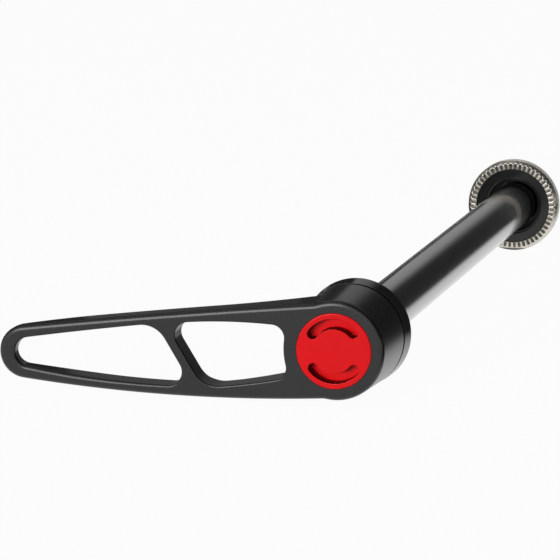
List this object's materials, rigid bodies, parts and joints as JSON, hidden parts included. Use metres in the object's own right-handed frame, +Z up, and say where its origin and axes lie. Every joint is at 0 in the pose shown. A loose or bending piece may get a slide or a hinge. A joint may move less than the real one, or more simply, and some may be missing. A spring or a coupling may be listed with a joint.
{
  "type": "bicycle thru axle",
  "caption": "Hollow bicycle thru axle with an open-frame lift-and-turn lever and clamping collar at one end and a serrated round nut at the other.",
  "frame": {"origin": "on the axle's centre line at the collar's clamping face", "axes": "+Y along the axle from the lever to the nut, -X along the lever to its tip, +Z up"},
  "size_m": [0.076, 0.1888, 0.0208],
  "materials": {
    "lever_black": "satin black anodised forging",
    "axle_black": "satin black anodised tube",
    "collar_black": "gloss black anodised",
    "nut_black": "black anodised, turned",
    "cap_red": "red moulded cap, satin gloss",
    "bare_steel": "ground steel",
    "grip_steel": "bare steel with pressed serrations",
    "spring_steel": "drawn spring wire",
    "black_steel": "black oxide",
    "slip_plastic": "moulded acetal",
    "lock_nylon": "moulded nylon"
  },
  "bodies": {
    "collar": {"clamp_collar": "collar_black", "collar_grip_ring": "grip_steel", "slip_washer": "slip_plastic", "collar_snap_ring": "spring_steel"},
    "axle": {"axle_tube": "axle_black", "ratchet_head": "bare_steel", "retaining_screw": "black_steel"},
    "spring_seat": {"return_spring": "spring_steel", "spring_washer": "bare_steel"},
    "lever": {"lever": "lever_black", "ratchet_insert": "bare_steel", "cover_cap": "cap_red"},
    "nut": {"nut_body": "nut_black", "nut_grip_ring": "grip_steel", "nut_lock_insert": "lock_nylon"}
  },
  "joints": [
    {"name": "axle_turn", "type": "hinge", "parent": "collar", "child": "axle", "pos_m": [0, 0, 0], "axis": [0, 1, 0], "range_deg": [-1800, 1080]},
    {"name": "lever_turn", "type": "hinge", "parent": "axle", "child": "spring_seat", "pos_m": [0, 0, 0], "axis": [0, 1, 0], "continuous": true},
    {"name": "lever_lift", "type": "slide", "parent": "spring_seat", "child": "lever", "axis": [0, -1, 0], "range_m": [0, 0.0038], "stiffness_N_per_m": 3000, "springref_m": -0.0027, "deforming": ["return_spring"]},
    {"name": "nut_travel", "type": "slide", "parent": "collar", "child": "nut", "axis": [0, -1, 0], "range_m": [-0.00501, 0.00301]}
  ],
  "couplings": [
    {"joint": "nut_travel", "follows": "axle_turn", "m_per_rad": 0.00015915}
  ]
}
